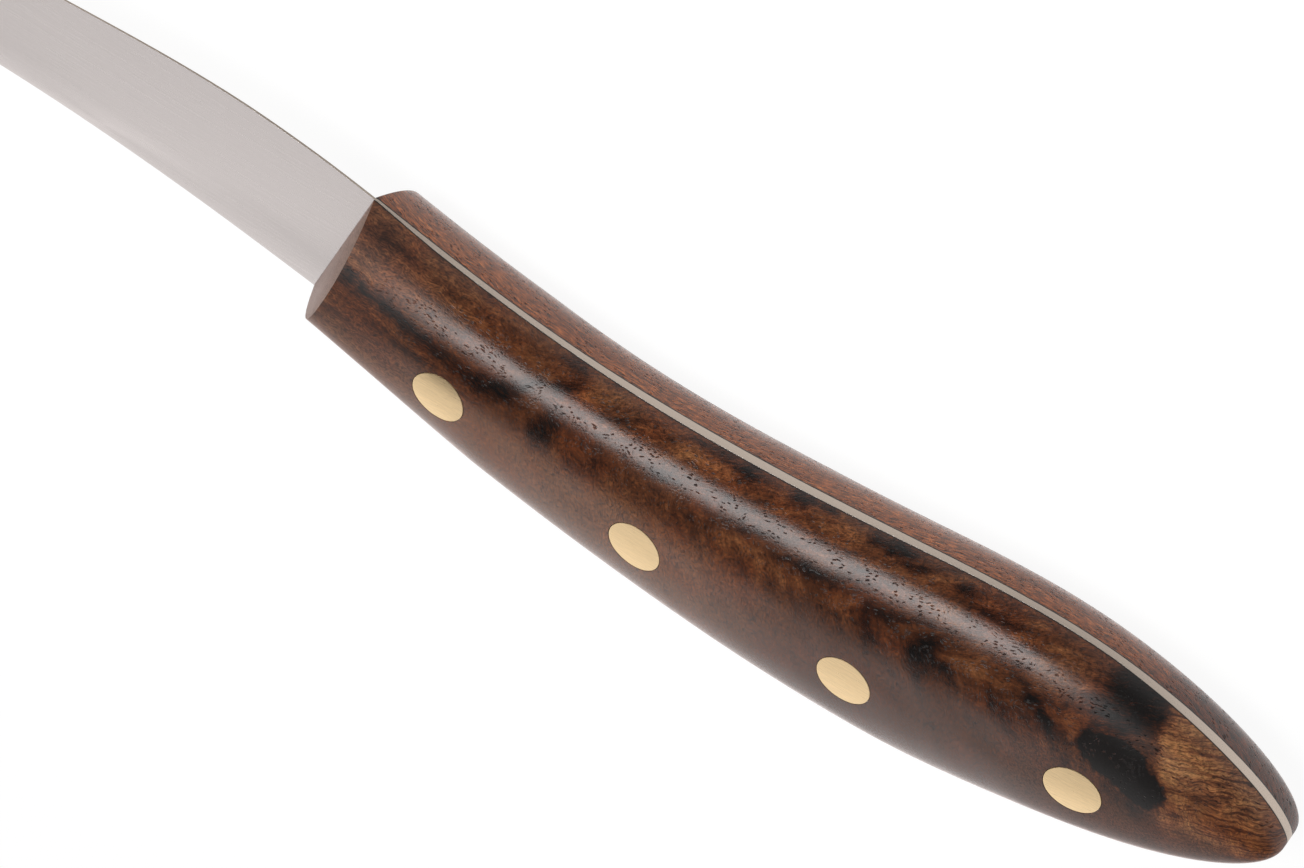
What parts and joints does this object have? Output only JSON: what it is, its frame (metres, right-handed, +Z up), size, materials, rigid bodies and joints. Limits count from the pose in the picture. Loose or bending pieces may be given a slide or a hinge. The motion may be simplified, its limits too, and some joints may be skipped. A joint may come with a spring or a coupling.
{
  "type": "fillet knife",
  "caption": "Slim fixed-blade fillet knife with a long tapering blade, a full tang and a pinned, palm-shaped walnut handle.",
  "frame": {"origin": "on the surface the knife lies on, under the middle of its bounding box", "axes": "+X along the knife from the tip of the blade to the butt, +Y from the cutting edge to the spine, +Z up, across the thickness, out of the left scale"},
  "size_m": [0.2974, 0.032, 0.0162],
  "materials": {
    "steel": "satin, fine lengthwise grinding lines, a straight machined strip along the spine and butt",
    "walnut": "satin oiled figured walnut, open pores, dark streaks and a near-black knot towards the butt",
    "brass": "ground flush and satin"
  },
  "bodies": {
    "root": {"blade": "steel", "left_scale": "walnut", "right_scale": "walnut", "front_pin": "brass", "second_pin": "brass", "third_pin": "brass", "rear_pin": "brass"}
  },
  "joints": []
}
